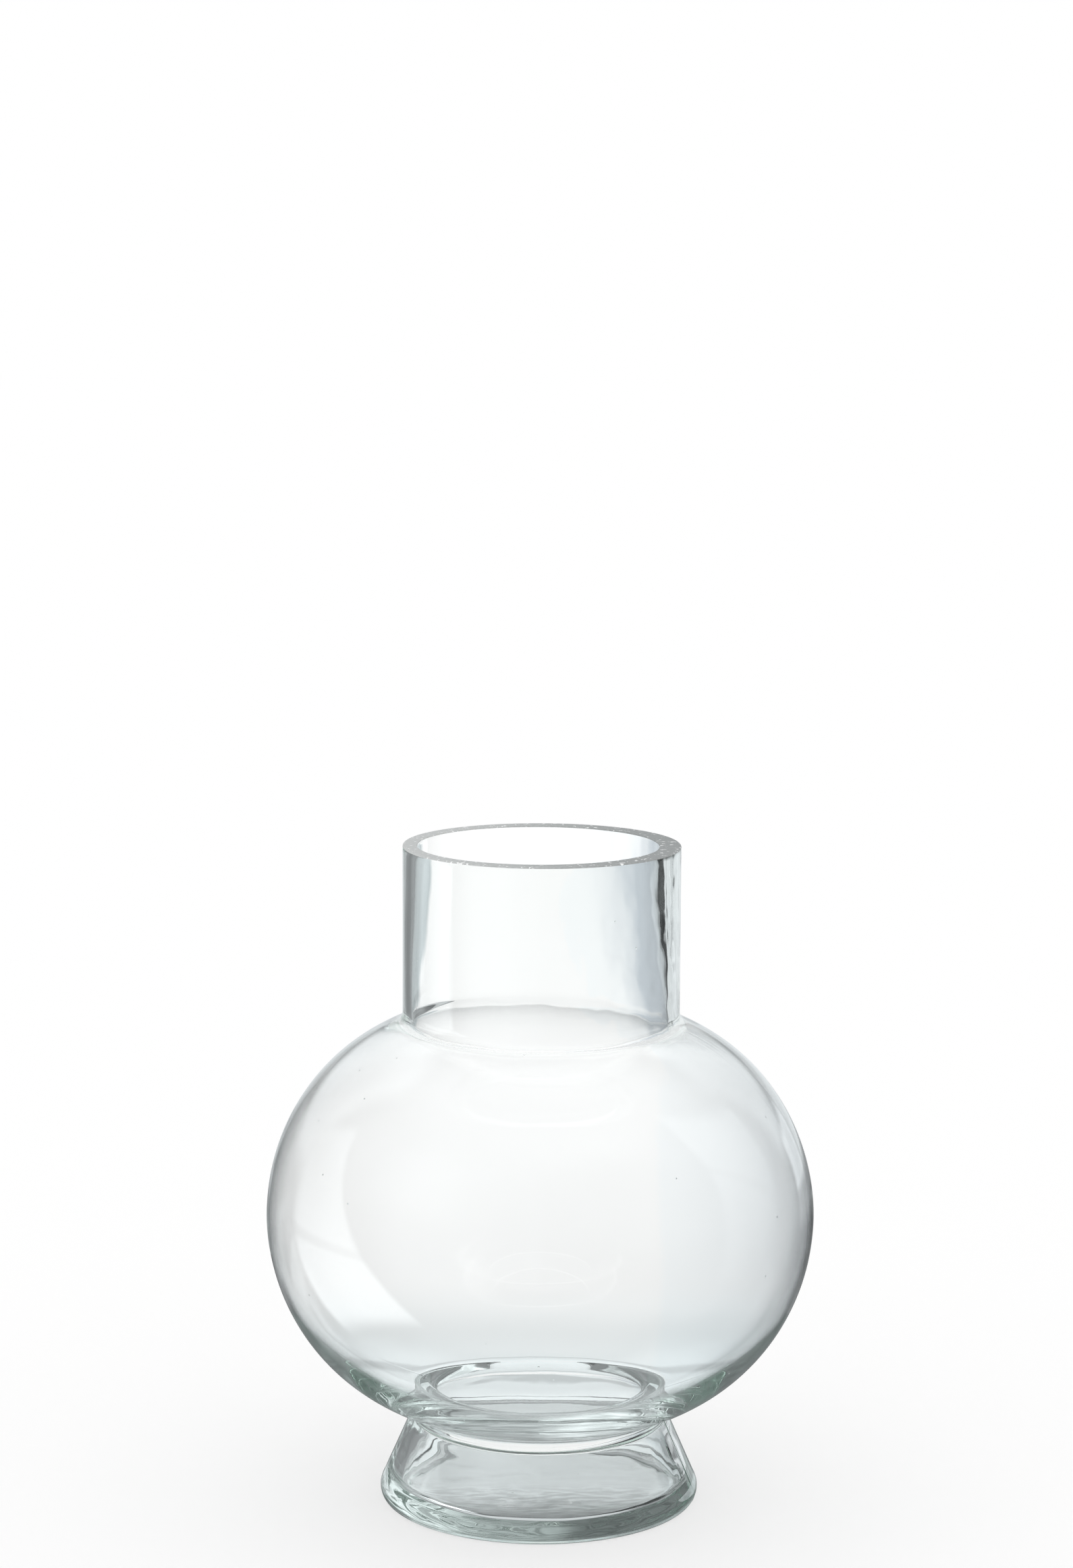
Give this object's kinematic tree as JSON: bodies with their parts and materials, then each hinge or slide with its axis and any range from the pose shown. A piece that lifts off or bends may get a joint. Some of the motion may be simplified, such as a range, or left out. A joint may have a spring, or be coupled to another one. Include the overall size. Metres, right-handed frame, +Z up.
{
  "type": "bowl vase",
  "caption": "Footed ball vase of clear blown glass: straight ground neck, squashed ball bowl, flared hollow foot and thick solid base.",
  "frame": {"origin": "middle of the standing ring, on the surface that the vase stands on", "axes": "+Z up along the axis that the vase is turned about; the vase is round, so +X and +Y are free"},
  "size_m": [0.2, 0.2, 0.243],
  "materials": {
    "clear_glass": "clear and glossy, faintly grey-green where thick; the cut rim is ground to a satin grey"
  },
  "bodies": {
    "root": {"neck": "clear_glass", "bowl": "clear_glass", "foot": "clear_glass", "base": "clear_glass"}
  },
  "joints": []
}
